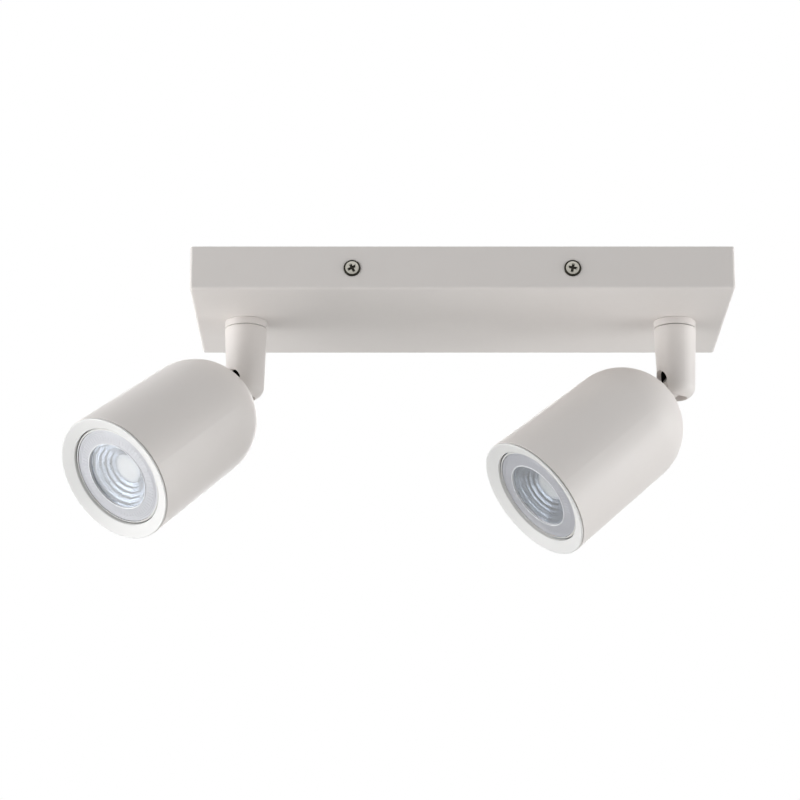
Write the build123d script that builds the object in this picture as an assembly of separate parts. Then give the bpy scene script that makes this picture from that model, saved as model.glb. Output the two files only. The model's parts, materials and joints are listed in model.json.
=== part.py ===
from build123d import *
import os
from math import acos, atan, cos, hypot, radians, sin, sqrt, tan

# Twin ceiling spotlight: a shallow canopy, two posts that swivel on it and two heads that tilt on the posts.
# Millimetres, +Z up. The ceiling is the plane Z = 0, the cable enters at the origin, and the front is -Y.

# Rest pose, in degrees: each post's turn from the front about +Z, and each head's tilt up from hanging
post_turn = {"left": -46.5, "right": -67.8}
head_tilt = {"left": 52.3, "right": 50.0}
side_sign = {"left": -1.0, "right": 1.0}

# Clearances that several fits share
thread_clearance = 0.05
swivel_clearance = 0.3
swivel_play = 0.05
pivot_clearance = 0.08
knuckle_play = 0.05

# Canopy: a pressed steel tray that opens towards the ceiling
canopy_length = 260.0
canopy_depth = 106.0
canopy_height = 21.2
canopy_wall = 1.2
canopy_edge_radius = 1.5
canopy_inner_radius = 0.4
post_inset = 24.5

# Canopy screws, front and back, with the turn of each cross recess in degrees
canopy_screw_spacing = 105.2
canopy_screw_edge = 5.1
canopy_screw_radius = 2.0
canopy_screw_length = 8.0
canopy_screw_head_radius = 4.1
canopy_screw_head_height = 0.9
canopy_screw_hole_clearance = 0.25
canopy_screw_turns = {-1.0: (28.0, -11.0), 1.0: (40.0, 12.0)}

# Heads of all pan screws
pan_edge_radius = 1.0
pan_top_margin = 0.2
cross_width = 0.95
cross_depth = 1.2
cross_margin = 2.1

# Mounting bracket: a folded steel channel against the ceiling
bracket_sheet = 1.5
bracket_bend_radius = 1.0
bracket_fit = 0.3
bracket_end_margin = 17.4
bracket_floor_gap = 4.0
bracket_corner_radius = 3.0
ceiling_slot_spacing = 80.0
ceiling_slot_width = 5.0
ceiling_slot_length = 14.0

# Cable grommet in the bracket
cable_bore_radius = 4.0
grommet_wall = 2.0
grommet_flange_width = 2.5
grommet_flange_height = 1.5
grommet_fit = 0.05

# Terminal block, three ways along X, with its leads on the front side
terminal_pitch = 10.0
terminal_ways = 3
terminal_block_depth = 16.0
terminal_block_height = 7.0
terminal_clamp_radius = 2.05
terminal_clamp_wall = 0.7
terminal_funnel_radius = 2.75
terminal_funnel_depth = 1.5
terminal_chimney_radius = 3.2
terminal_chimney_height = 4.5
terminal_chimney_spacing = 8.0
terminal_screw_radius = 1.4
terminal_screw_sink = 1.2
terminal_slot_width = 0.5
terminal_slot_depth = 0.9
terminal_fixing_radius = 1.25
terminal_fixing_length = 8.0
terminal_fixing_head_radius = 1.7
terminal_fixing_head_height = 1.3
terminal_lane_gap = 6.0

# Leads: single insulated wires
lead_radius = 0.85
lead_offset = 2.45
lead_lane_inset = 7.0
lead_pair_step = 1.2
lead_level_step = 1.1
lead_bend_radius = 5.0
lead_sweep_radius = 10.0
lead_spread_radius = 1.7
lead_break = 0.6

# Earth connection on the bracket
earth_reach = 13.0
earth_lug_radius = 3.6
earth_lug_sheet = 0.8
earth_barrel_radius = 1.25
earth_barrel_length = 4.0
earth_barrel_start = 4.2
earth_tongue_width = 2.4
earth_screw_radius = 2.0
earth_screw_sink = 0.2
earth_screw_head_radius = 3.6
earth_screw_head_height = 2.2
earth_bend_radius = 2.5
earth_lane_gap = 3.0

# Collar and swivel washer between the canopy and a post
collar_radius = 10.3
collar_height = 3.5
collar_edge_radius = 0.4
swivel_washer_height = 0.4
swivel_washer_inset = 0.9

# Hollow nipple that holds a post, with its stop washer and nut
nipple_radius = 5.0
nipple_bore_radius = 3.7
nipple_engagement = 9.0
nipple_end_stand = 1.2
stop_washer_radius = 8.5
stop_washer_height = 1.2
stop_tongue_reach = 14.0
stop_tongue_width = 3.0
stop_pin_radius = 1.25
stop_pin_circle = 12.5
stop_pin_height = 3.5
nut_across_flats = 14.0
nut_height = 3.5

# Stem: the tapered post with a slotted knuckle in its rounded end
stem_top_radius = 10.3
stem_tip_radius = 9.1
stem_tip_drop = 7.3
stem_tip_rounding = 6.2
stem_edge_radius = 0.4
stem_bore_radius = 4.0
slot_rise = 1.0

# Pivot screw across the knuckle and its friction washers
pivot_radius = 1.5
pivot_head_radius = 2.7
pivot_head_height = 1.8
pivot_seat = 1.4
pivot_blind_skin = 1.3
friction_washer_radius = 4.0
friction_washer_height = 0.45

# Tilt arm: a hollow stub with an eye, clamped in the dome by its own nut
arm_radius = 4.65
arm_bore_radius = 3.4
arm_flange_radius = 5.8
arm_flange_height = 1.0
arm_shank_radius = 5.0
arm_end_stand = 1.2
arm_spot_margin = 0.2

# Reflector lamp with a twist-lock base, the standard 50 mm size
lamp_radius = 24.9
lamp_length = 50.0
lamp_recess = 3.1
lamp_rim_height = 8.0
lamp_rim_wall = 0.9
lamp_rim_edge = 0.6
lamp_cone_radius = 17.5
lamp_cone_height = 22.0
lamp_neck_radius = 14.5
lamp_neck_height = 6.0
lamp_base_radius = 10.5
lamp_base_step = 2.0
lamp_bowl_floor = 10.0
lamp_bowl_floor_radius = 11.0
lamp_bowl_margin = 0.5
lens_thickness = 2.0
lens_fit = 0.1
lens_window_radius = 16.7
lens_bead_width = 0.5
lens_bead_height = 0.35
lens_window_sink = 0.8
reflector_fit = 0.1
reflector_mouth_wall = 0.9
reflector_steps = 4
reflector_tread_width = 1.5
reflector_tread_drop = 0.5
reflector_lip = 0.6
reflector_throat_gap = 0.6
led_board_radius = 10.4
led_board_height = 0.8
led_radius = 7.2
led_height = 0.6
pin_spacing = 10.0
pin_neck_radius = 1.4
pin_neck_height = 2.2
pin_head_radius = 2.5
pin_head_height = 2.3

# Lamp holder and the strap that carries it
holder_radius = 13.0
holder_flat = 12.0
holder_height = 15.0
holder_pocket_clearance = 0.3
holder_pocket_margin = 0.8
holder_lead_offset = 6.0
holder_lead_depth = 2.5
holder_lead_clearance = 0.15
holder_screw_radius = 1.5
holder_screw_length = 5.5
holder_screw_head_radius = 2.6
holder_screw_head_height = 1.6
holder_screw_level = 5.0
strap_sheet = 1.2
strap_width = 12.0
strap_bend_radius = 1.0
strap_clearance = 0.6
strap_overlap = 9.0
wiring_room = 11.5

# Head shell and front ring
lamp_gap = 0.4
ring_face_width = 6.1
ring_edge_thickness = 0.7
ring_seam = 0.5
ring_land_width = 0.6
ring_step = 0.8
ring_web = 1.5
ring_edge_radius = 0.3
ring_spigot_length = 6.0
ring_spigot_wall = 2.0
ring_fit = 0.1
shell_proud = 0.2
shell_wall = 1.5
shell_edge_radius = 0.3
shell_boss_radius = 8.5
dome_narrowing = 1.9
dome_clearance = 0.7
head_canopy_clearance = 0.6

# Heights in the canopy and on a post
canopy_face_z = -canopy_height
canopy_floor_z = canopy_face_z + canopy_wall
bracket_face_z = -bracket_sheet
collar_face_z = canopy_face_z - collar_height
swivel_washer_face_z = collar_face_z - swivel_washer_height
stem_top_z = swivel_washer_face_z - swivel_play
ring_radius = lamp_radius + lamp_gap + ring_face_width
shell_front_radius = ring_radius + shell_proud
pivot_z = canopy_face_z - shell_front_radius - head_canopy_clearance
stem_tip_z = pivot_z - stem_tip_drop
post_x = canopy_length / 2 - post_inset

# Stack on a nipple, from the canopy's floor up
stop_washer_z = canopy_floor_z + swivel_play
nipple_nut_z = stop_washer_z + stop_washer_height
nipple_top_z = nipple_nut_z + nut_height + nipple_end_stand
nipple_low_z = stem_top_z - nipple_engagement

# Bracket and terminal places
bracket_length = canopy_screw_spacing + 2 * bracket_end_margin
bracket_depth = canopy_depth - 2 * (canopy_wall + bracket_fit)
bracket_flange_height = canopy_height - canopy_wall - bracket_floor_gap
canopy_screw_z = canopy_screw_edge - bracket_flange_height
lead_lane_y = lead_lane_inset + bracket_sheet - bracket_depth / 2
terminal_front_y = lead_lane_y + terminal_lane_gap
terminal_y = terminal_front_y + terminal_block_depth / 2
terminal_length = terminal_pitch * terminal_ways
terminal_axis_z = bracket_face_z - terminal_block_height / 2
terminal_low_z = bracket_face_z - terminal_block_height
terminal_x = [terminal_pitch * (way - (terminal_ways - 1) / 2) for way in range(terminal_ways)]
earth_x = terminal_length / 2 + earth_reach

# Knuckle and dome, as distances along a head's axis from its pivot
slot_half = arm_radius + friction_washer_height + 2 * knuckle_play
dome_radius = shell_front_radius - dome_narrowing
dome_pole = stem_tip_radius + dome_clearance
dome_centre = dome_pole + dome_radius
dome_inner_radius = dome_radius - shell_wall
arm_spot_radius = arm_flange_radius + arm_spot_margin
arm_seat = dome_centre - sqrt(dome_radius ** 2 - arm_spot_radius ** 2)
strap_half = holder_flat + strap_sheet
strap_corner = hypot(strap_half, strap_width / 2)
strap_seat = dome_centre - sqrt(dome_inner_radius ** 2 - strap_corner ** 2) + strap_clearance
arm_nut_seat = strap_seat + strap_sheet
arm_end = arm_nut_seat + nut_height + arm_end_stand
holder_back = arm_end + wiring_room
holder_front = holder_back + holder_height
lamp_face = holder_front + lamp_length
head_front = lamp_face + lamp_recess
shell_front = head_front - ring_edge_thickness - ring_seam

# The cone of the shell's side touches the dome's sphere at this angle to the axis
cone_run = shell_front - dome_centre
shell_taper = acos(dome_radius / hypot(shell_front_radius, cone_run)) - atan(cone_run / shell_front_radius)
shell_mouth_radius = shell_front_radius - shell_wall / cos(shell_taper)

parts = {}


def rod(radius, low, high):
    """Round bar along Z between two heights."""
    return Pos(0, 0, low) * Cylinder(radius, high - low, align=(Align.CENTER, Align.CENTER, Align.MIN))


def cross_rod(radius, low, high):
    """Round bar along X between two places."""
    return Rot(0, 90, 0) * rod(radius, low, high)


def block(x, y, z):
    """Box between pairs of limits along X, Y and Z."""
    size = Box(x[1] - x[0], y[1] - y[0], z[1] - z[0], align=(Align.MIN, Align.MIN, Align.MIN))
    return Pos(x[0], y[0], z[0]) * size


def turned(*points):
    """Turned piece about Z from the (radius, height) corners of its half section."""
    return revolve(Plane.XZ * make_face(Polyline(*points, close=True)), Axis.Z)


def washer(outer_radius, bore_radius, low, high):
    """Flat ring about Z."""
    return rod(outer_radius, low, high) - rod(bore_radius, low, high)


def hex_nut(low, bore_radius):
    """Nut about Z that stands on a height."""
    outline = RegularPolygon(nut_across_flats / 2, 6, major_radius=False)
    return Pos(0, 0, low) * extrude(outline, nut_height) - rod(bore_radius, low, low + nut_height)


def pan_screw(shank_radius, length, head_radius, head_height, turn=0.0):
    """Pan-head screw along -Z, with the seat of its head at the origin and a cross recess."""
    head = rod(head_radius, 0, head_height)
    rounding = min(pan_edge_radius, head_height - pan_top_margin, head_radius / 2)
    head = fillet(head.edges().sort_by(Axis.Z)[-1], rounding)
    reach = max(head_radius - cross_margin, cross_width)
    bar = Box(2 * reach, cross_width, cross_depth, align=(Align.CENTER, Align.CENTER, Align.MAX))
    cross = bar + Rot(0, 0, 90) * bar
    return head + rod(shank_radius, -length, 0) - Pos(0, 0, head_height) * Rot(0, 0, turn) * cross


def lead(points, radii):
    """Insulated wire along straight runs joined by arcs."""
    path = FilletPolyline(*points, radius=radii)
    section = Plane(origin=path @ 0, z_dir=path % 0) * Circle(lead_radius)
    return sweep(section, path=path)


def on_post(side, shape):
    """Turns a shape made about the Z axis, facing the front, to a post's place."""
    return Pos(side_sign[side] * post_x, 0, 0) * Rot(0, 0, post_turn[side]) * shape


def on_head(side, shape):
    """Tilts a shape that hangs along -Z from its pivot to a head's place."""
    place = Pos(side_sign[side] * post_x, 0, pivot_z) * Rot(0, 0, post_turn[side])
    return place * Rot(-head_tilt[side], 0, 0) * shape


def canopy_screw_places():
    """Seats of the canopy screws, each with its outward side and the turn of its recess."""
    for outward, turns in canopy_screw_turns.items():
        for sign, turn in zip((-1.0, 1.0), turns):
            yield sign * canopy_screw_spacing / 2, outward, turn


def facing(outward):
    """Turn that points +Z to the front or the back."""
    return Rot(-90 * outward, 0, 0)


# The tray, with a hole for each nipple and each screw
def make_canopy():
    half_length = canopy_length / 2
    half_depth = canopy_depth / 2
    tray = block((-half_length, half_length), (-half_depth, half_depth), (canopy_face_z, 0))
    rounded = tray.edges().filter_by(Axis.Z) + tray.faces().sort_by(Axis.Z)[0].edges()
    tray = fillet(rounded, canopy_edge_radius)
    inner_x = half_length - canopy_wall
    inner_y = half_depth - canopy_wall
    hollow = block((-inner_x, inner_x), (-inner_y, inner_y), (canopy_floor_z, canopy_wall))
    rounded = hollow.edges().filter_by(Axis.Z) + hollow.faces().sort_by(Axis.Z)[0].edges()
    hollow = fillet(rounded, max(canopy_edge_radius - canopy_wall, canopy_inner_radius))
    tray -= hollow
    nipple_hole = nipple_radius + swivel_clearance
    for sign in side_sign.values():
        hole = rod(nipple_hole, canopy_face_z - canopy_wall, canopy_floor_z + canopy_wall)
        tray -= Pos(sign * post_x, 0, 0) * hole
    hole_radius = canopy_screw_radius + canopy_screw_hole_clearance
    for x, outward, _ in canopy_screw_places():
        hole = facing(outward) * rod(hole_radius, -2 * canopy_wall, canopy_wall)
        tray -= Pos(x, outward * half_depth, canopy_screw_z) * hole
    return tray


def make_canopy_screws():
    screws = []
    for x, outward, turn in canopy_screw_places():
        screw = pan_screw(
            canopy_screw_radius, canopy_screw_length, canopy_screw_head_radius, canopy_screw_head_height, turn
        )
        screws.append(Pos(x, outward * canopy_depth / 2, canopy_screw_z) * facing(outward) * screw)
    return screws


# The channel: a plate on the ceiling with two flanges folded down
def make_mounting_bracket():
    half_length = bracket_length / 2
    half_depth = bracket_depth / 2
    plate = block((-half_length, half_length), (-half_depth, half_depth), (-bracket_flange_height, 0))
    folds = plate.edges().filter_by(Axis.X).group_by(Axis.Z)[-1]
    plate = fillet(folds, bracket_bend_radius + bracket_sheet)
    inner_y = half_depth - bracket_sheet
    room = block((-canopy_length, canopy_length), (-inner_y, inner_y), (-canopy_length, bracket_face_z))
    room = fillet(room.edges().filter_by(Axis.X).group_by(Axis.Z)[-1], bracket_bend_radius)
    plate -= room
    corners = plate.edges().filter_by(Axis.Y).group_by(Axis.Z)[0]
    plate = fillet(corners, bracket_corner_radius)
    plate -= rod(cable_bore_radius + grommet_wall + grommet_fit, -bracket_flange_height, bracket_sheet)
    slot = extrude(SlotOverall(ceiling_slot_length, ceiling_slot_width), 2 * bracket_sheet, both=True)
    for sign in (-1, 1):
        plate -= Pos(sign * ceiling_slot_spacing / 2, 0, 0) * slot
    hole_radius = canopy_screw_radius + thread_clearance
    for x, outward, _ in canopy_screw_places():
        hole = facing(outward) * rod(hole_radius, -2 * bracket_sheet, bracket_sheet)
        plate -= Pos(x, outward * half_depth, canopy_screw_z) * hole
    tapped = rod(earth_screw_radius + thread_clearance, -2 * bracket_sheet, bracket_sheet)
    plate -= Pos(earth_x, terminal_y, 0) * tapped
    tapped = rod(terminal_fixing_radius + thread_clearance, -2 * bracket_sheet, bracket_sheet)
    for x in terminal_fixing_x():
        plate -= Pos(x, terminal_y, 0) * tapped
    return plate


def make_cable_grommet():
    sleeve_radius = cable_bore_radius + grommet_wall
    flange_z = bracket_face_z - grommet_flange_height
    return turned(
        (cable_bore_radius, 0),
        (sleeve_radius, 0),
        (sleeve_radius, bracket_face_z),
        (sleeve_radius + grommet_flange_width, bracket_face_z),
        (sleeve_radius + grommet_flange_width, flange_z),
        (cable_bore_radius, flange_z),
    )


# The terminal block hangs under the bracket, with its screws reached from below
def terminal_fixing_x():
    return [(left + right) / 2 for left, right in zip(terminal_x, terminal_x[1:])]


def terminal_screw_places():
    return [
        (x, terminal_y + sign * terminal_chimney_spacing / 2) for x in terminal_x for sign in (-1, 1)
    ]


def make_terminal_block():
    half_length = terminal_length / 2
    half_depth = terminal_block_depth / 2
    body = block(
        (-half_length, half_length),
        (terminal_y - half_depth, terminal_y + half_depth),
        (terminal_low_z, bracket_face_z),
    )
    chimney_low = terminal_low_z - terminal_chimney_height
    for x, y in terminal_screw_places():
        body += Pos(x, y, 0) * rod(terminal_chimney_radius, chimney_low, terminal_low_z)
    along = Rot(-90, 0, 0)
    for x in terminal_x:
        middle = Pos(x, terminal_y, terminal_axis_z) * along
        body -= middle * rod(terminal_clamp_radius, -half_depth, half_depth)
        for sign in (-1, 1):
            mouth = sorted((sign * half_depth, sign * (half_depth - terminal_funnel_depth)))
            body -= middle * rod(terminal_funnel_radius, *mouth)
    hole_radius = terminal_screw_radius + thread_clearance
    for x, y in terminal_screw_places():
        body -= Pos(x, y, 0) * rod(hole_radius, chimney_low, terminal_axis_z)
    for x in terminal_fixing_x():
        hole = rod(terminal_fixing_radius + thread_clearance, chimney_low, bracket_face_z)
        body -= Pos(x, terminal_y, 0) * hole
    return body


def make_terminal_clamps():
    half = terminal_block_depth / 2 - terminal_funnel_depth
    outer = terminal_clamp_radius - thread_clearance
    clamp = Rot(-90, 0, 0) * washer(outer, outer - terminal_clamp_wall, -half, half)
    hole = rod(terminal_screw_radius + thread_clearance, -2 * outer, 0)
    for sign in (-1, 1):
        clamp -= Pos(0, sign * terminal_chimney_spacing / 2, 0) * hole
    return [Pos(x, terminal_y, terminal_axis_z) * clamp for x in terminal_x]


def make_terminal_screws():
    low = terminal_low_z - terminal_chimney_height + terminal_screw_sink
    high = terminal_axis_z - terminal_clamp_radius / 2
    screw = rod(terminal_screw_radius, low, high)
    screw -= block(
        (-terminal_screw_radius, terminal_screw_radius),
        (-terminal_slot_width / 2, terminal_slot_width / 2),
        (low, low + terminal_slot_depth),
    )
    return [Pos(x, y, 0) * screw for x, y in terminal_screw_places()]


def make_terminal_fixing_screws():
    screw = pan_screw(
        terminal_fixing_radius,
        terminal_fixing_length,
        terminal_fixing_head_radius,
        terminal_fixing_head_height,
    )
    return [Pos(x, terminal_y, terminal_low_z) * Rot(180, 0, 0) * screw for x in terminal_fixing_x()]


# Earth: a crimped ring under a screw in the bracket, and its wire to the last terminal
def earth_axis_z():
    return bracket_face_z - earth_barrel_radius


def make_earth_lug():
    ring = rod(earth_lug_radius, bracket_face_z - earth_lug_sheet, bracket_face_z)
    start = -earth_barrel_start
    end = start - earth_barrel_length
    barrel = Pos(0, 0, earth_axis_z()) * Rot(90, 0, 0) * rod(earth_barrel_radius, -start, -end)
    half = earth_tongue_width / 2
    tongue = block((-half, half), (start, 0), (bracket_face_z - earth_lug_sheet, bracket_face_z))
    lug = ring + tongue + barrel
    lug -= rod(earth_screw_radius + thread_clearance, bracket_face_z - 2 * earth_lug_sheet, 0)
    bore = Rot(90, 0, 0) * rod(lead_radius + thread_clearance, earth_barrel_length / 2 - start, -end)
    lug -= Pos(0, 0, earth_axis_z()) * bore
    return Pos(earth_x, terminal_y, 0) * lug


def make_earth_screw():
    length = earth_lug_sheet + bracket_sheet - earth_screw_sink
    screw = pan_screw(earth_screw_radius, length, earth_screw_head_radius, earth_screw_head_height)
    return Pos(earth_x, terminal_y, bracket_face_z - earth_lug_sheet) * Rot(180, 0, 0) * screw


def make_earth_lead():
    start_y = terminal_front_y + terminal_funnel_depth
    turn_y = terminal_front_y - earth_lane_gap
    end_y = terminal_y - earth_barrel_start - earth_barrel_length / 2
    level = earth_axis_z()
    route = [
        (terminal_x[-1], start_y, terminal_axis_z),
        (terminal_x[-1], turn_y, terminal_axis_z),
        (earth_x, turn_y, level),
        (earth_x, end_y, level),
    ]
    return lead(route, earth_bend_radius)


# Two wires run from the first two terminals along the front flange and down into a nipple
def make_canopy_leads(side):
    sign = side_sign[side]
    turn = radians(post_turn[side])
    leads = []
    for way, half in ((0, 1), (1, -1)):
        start_x = terminal_x[way] + sign * lead_pair_step
        level = terminal_axis_z + half * lead_level_step
        end_x = sign * post_x + half * lead_offset * sin(turn)
        end_y = -half * lead_offset * cos(turn)
        route = [
            (start_x, terminal_front_y + terminal_funnel_depth, level),
            (start_x, lead_lane_y, level),
            (end_x, lead_lane_y, level),
            (end_x, end_y, level),
            (end_x, end_y, canopy_floor_z),
        ]
        leads.append(lead(route, [lead_bend_radius, lead_sweep_radius, lead_bend_radius]))
    return leads


# Post pieces, made about Z and facing the front
def make_collar():
    collar = washer(collar_radius, nipple_radius + swivel_clearance, collar_face_z, canopy_face_z)
    outer = collar.edges().filter_by(GeomType.CIRCLE).group_by(SortBy.RADIUS)[-1]
    return fillet(outer, collar_edge_radius)


def make_swivel_washer():
    outer = collar_radius - swivel_washer_inset
    return washer(outer, nipple_radius + swivel_clearance, swivel_washer_face_z, collar_face_z)


def make_stop_pin(side):
    pin = rod(stop_pin_radius, canopy_floor_z, canopy_floor_z + stop_pin_height)
    return Pos(side_sign[side] * post_x, stop_pin_circle, 0) * pin


def make_stop_washer():
    high = stop_washer_z + stop_washer_height
    half = stop_tongue_width / 2
    plate = rod(stop_washer_radius, stop_washer_z, high)
    plate += block((-half, half), (-stop_tongue_reach, 0), (stop_washer_z, high))
    return plate - rod(nipple_radius + thread_clearance, stop_washer_z, high)


def make_nipple():
    return washer(nipple_radius, nipple_bore_radius, nipple_low_z, nipple_top_z)


def make_stem():
    profile = make_face(
        Polyline(
            (0, stem_top_z),
            (stem_top_radius, stem_top_z),
            (stem_tip_radius, stem_tip_z),
            (0, stem_tip_z),
            close=True,
        )
    )
    tip = profile.vertices().group_by(Axis.Y)[0].sort_by(Axis.X)[-1]
    profile = fillet(tip, stem_tip_rounding)
    top = profile.vertices().group_by(Axis.Y)[-1].sort_by(Axis.X)[-1]
    profile = fillet(top, stem_edge_radius)
    stem = revolve(Plane.XZ * profile, Axis.Z)
    stem -= rod(nipple_radius + thread_clearance, nipple_low_z, stem_top_z)
    stem -= rod(stem_bore_radius, pivot_z, nipple_low_z)
    return stem - knuckle_slot() - pivot_holes()


def knuckle_slot():
    """Room for the arm from hanging to level: a bore below, a round-topped slot in front, an eye pocket."""
    below = stem_tip_z - stem_tip_rounding
    front = -2 * stem_top_radius
    top = pivot_z + slot_rise
    hanging = rod(slot_half, below, pivot_z) + block((-slot_half, slot_half), (front, 0), (below, top))
    level = Pos(0, 0, top) * Rot(90, 0, 0) * rod(slot_half, 0, -front)
    pocket = Pos(0, 0, pivot_z) * cross_rod(slot_half, -slot_half, slot_half)
    return hanging + level + pocket


def pivot_holes():
    """Hole for the pivot screw, counterbored on one side and blind on the other."""
    blind_end = stem_tip_radius - pivot_blind_skin + pivot_radius / 2
    hole = cross_rod(pivot_radius + thread_clearance, -2 * stem_tip_radius, blind_end)
    sink = cross_rod(pivot_head_radius + swivel_clearance, -2 * stem_tip_radius, -slot_half - pivot_seat)
    return Pos(0, 0, pivot_z) * (hole + sink)


def make_pivot_screw():
    seat = slot_half + pivot_seat
    length = seat + stem_tip_radius - pivot_blind_skin
    screw = pan_screw(pivot_radius, length, pivot_head_radius, pivot_head_height)
    return Pos(-seat, 0, pivot_z) * Rot(0, -90, 0) * screw


def make_friction_washers():
    near = arm_radius + knuckle_play
    far = near + friction_washer_height
    bore = pivot_radius + thread_clearance
    left = cross_rod(friction_washer_radius, -far, -near) - cross_rod(bore, -far, -near)
    right = cross_rod(friction_washer_radius, near, far) - cross_rod(bore, near, far)
    return [Pos(0, 0, pivot_z) * left, Pos(0, 0, pivot_z) * right]


def make_stem_leads():
    top = canopy_floor_z - lead_break
    low = pivot_z + slot_half + lead_break
    return [Pos(0, sign * lead_offset, 0) * rod(lead_radius, low, top) for sign in (-1, 1)]


# Head pieces, hanging along -Z from the pivot
def make_tilt_arm():
    flange_back = arm_seat - arm_flange_height
    arm = rod(arm_radius, -flange_back, 0) + cross_rod(arm_radius, -arm_radius, arm_radius)
    arm += rod(arm_flange_radius, -arm_seat, -flange_back)
    arm += rod(arm_shank_radius, -arm_end, -arm_seat)
    arm -= rod(arm_bore_radius, -arm_end, arm_radius)
    return arm - cross_rod(pivot_radius + pivot_clearance, -2 * arm_radius, 2 * arm_radius)


def make_arm_nut():
    return Rot(180, 0, 0) * hex_nut(arm_nut_seat, arm_shank_radius + thread_clearance)


def dome_and_cone(radius, mouth_radius, pole_radius):
    """Solid of a dome that runs smoothly into a cone, cut flat at a radius about its pole."""
    side_height = -(dome_centre - radius * sin(shell_taper))
    side_radius = radius * cos(shell_taper)
    pole_height = sqrt(radius ** 2 - pole_radius ** 2) - dome_centre
    middle = radians(45)
    arc = ThreePointArc(
        (pole_radius, pole_height),
        (radius * sin(middle), radius * cos(middle) - dome_centre),
        (side_radius, side_height),
    )
    side = Line((side_radius, side_height), (mouth_radius, -shell_front))
    rest = Polyline(
        (mouth_radius, -shell_front), (0, -shell_front), (0, pole_height), (pole_radius, pole_height)
    )
    return revolve(Plane.XZ * make_face([arc, side, *rest.edges()]), Axis.Z)


def make_head_shell():
    outer = dome_and_cone(dome_radius, shell_front_radius, arm_spot_radius)
    inner = dome_and_cone(dome_inner_radius, shell_mouth_radius, arm_spot_radius)
    boss = rod(shell_boss_radius, -strap_seat, -dome_pole)
    shell = outer - (inner - boss)
    rim = shell.edges().filter_by(GeomType.CIRCLE).group_by(Axis.Z)[0].sort_by(SortBy.RADIUS)[-1]
    shell = fillet(rim, shell_edge_radius)
    return shell - rod(arm_shank_radius + thread_clearance, -strap_seat, 0)


def make_front_ring():
    """Thin edge a seam away from the shell's rim, a face dished in to the lamp and a spigot in the shell."""
    bore = lamp_radius + lamp_gap
    spigot = shell_mouth_radius - ring_fit
    spigot_end = ring_spigot_length - shell_front
    spigot_end_radius = spigot - ring_spigot_length * tan(shell_taper)
    bore_front = -lamp_face - ring_step
    bore_back = bore_front + ring_web
    edge_back = ring_edge_thickness - head_front
    web_radius = spigot - ring_spigot_wall - (shell_front + bore_back) * tan(shell_taper)
    ring = turned(
        (bore, bore_front),
        (ring_radius - ring_land_width, -head_front),
        (ring_radius, -head_front),
        (ring_radius, edge_back),
        (spigot, edge_back),
        (spigot, -shell_front),
        (spigot_end_radius, spigot_end),
        (spigot_end_radius - ring_spigot_wall, spigot_end),
        (web_radius, bore_back),
        (bore, bore_back),
    )
    circles = ring.edges().filter_by(GeomType.CIRCLE)
    rim = circles.group_by(Axis.Z)[0].sort_by(SortBy.RADIUS)[-1]
    lip = circles.filter_by(lambda edge: abs(edge.radius - bore) < ring_step).sort_by(Axis.Z)[0]
    return fillet([rim, lip], ring_edge_radius)


# Lamp pieces: depths count back from the lamp's face
def at_depth(depth):
    return depth - lamp_face


def make_lamp_body():
    seat_radius = lamp_radius - lamp_rim_wall
    bowl_radius = lens_window_radius + lamp_bowl_margin
    cone_end = lamp_rim_height + lamp_cone_height
    neck_end = cone_end + lamp_neck_height
    return turned(
        (seat_radius, at_depth(0)),
        (lamp_radius - lamp_rim_edge, at_depth(0)),
        (lamp_radius, at_depth(lamp_rim_edge)),
        (lamp_radius, at_depth(lamp_rim_height)),
        (lamp_cone_radius, at_depth(cone_end)),
        (lamp_neck_radius, at_depth(neck_end)),
        (lamp_base_radius, at_depth(neck_end + lamp_base_step)),
        (lamp_base_radius, at_depth(lamp_length)),
        (0, at_depth(lamp_length)),
        (0, at_depth(lamp_bowl_floor)),
        (lamp_bowl_floor_radius, at_depth(lamp_bowl_floor)),
        (bowl_radius, at_depth(lens_thickness)),
        (seat_radius, at_depth(lens_thickness)),
    )


def make_lamp_lens():
    """Frosted rim with a bead around a sunk window, flat at the back."""
    rim = lamp_radius - lamp_rim_wall - lens_fit
    bead = lens_window_radius + lens_bead_width
    return turned(
        (0, at_depth(lens_window_sink)),
        (lens_window_radius, at_depth(lens_window_sink)),
        (lens_window_radius, at_depth(-lens_bead_height)),
        (bead, at_depth(-lens_bead_height)),
        (bead, at_depth(0)),
        (rim, at_depth(0)),
        (rim, at_depth(lens_thickness)),
        (0, at_depth(lens_thickness)),
    )


def make_lamp_reflector():
    """Bright cup that steps down from the lens to the board around the light source."""
    mouth_depth = lens_thickness + lens_fit
    board_depth = lamp_bowl_floor - led_board_height
    bowl_radius = lens_window_radius + lamp_bowl_margin
    bowl_slope = (bowl_radius - lamp_bowl_floor_radius) / (lamp_bowl_floor - lens_thickness)
    outer_mouth = bowl_radius - reflector_fit - bowl_slope * lens_fit
    outer_floor = outer_mouth - bowl_slope * (board_depth - mouth_depth)
    mouth = outer_mouth - reflector_mouth_wall
    throat = led_radius + reflector_throat_gap
    step_run = (mouth - throat) / reflector_steps
    step_drop = (board_depth - reflector_lip - mouth_depth) / reflector_steps
    corners = [(mouth, at_depth(mouth_depth))]
    for step in range(1, reflector_steps + 1):
        radius = mouth - step * step_run
        depth = mouth_depth + step * step_drop
        corners.append((radius + reflector_tread_width, at_depth(depth - reflector_tread_drop)))
        corners.append((radius, at_depth(depth)))
    corners += [(throat, at_depth(board_depth)), (outer_floor, at_depth(board_depth))]
    return turned(*corners, (outer_mouth, at_depth(mouth_depth)))


def make_lamp_led():
    board_top = at_depth(lamp_bowl_floor - led_board_height)
    board = rod(led_board_radius, board_top, at_depth(lamp_bowl_floor))
    return board + rod(led_radius, board_top - led_height, board_top)


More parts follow.
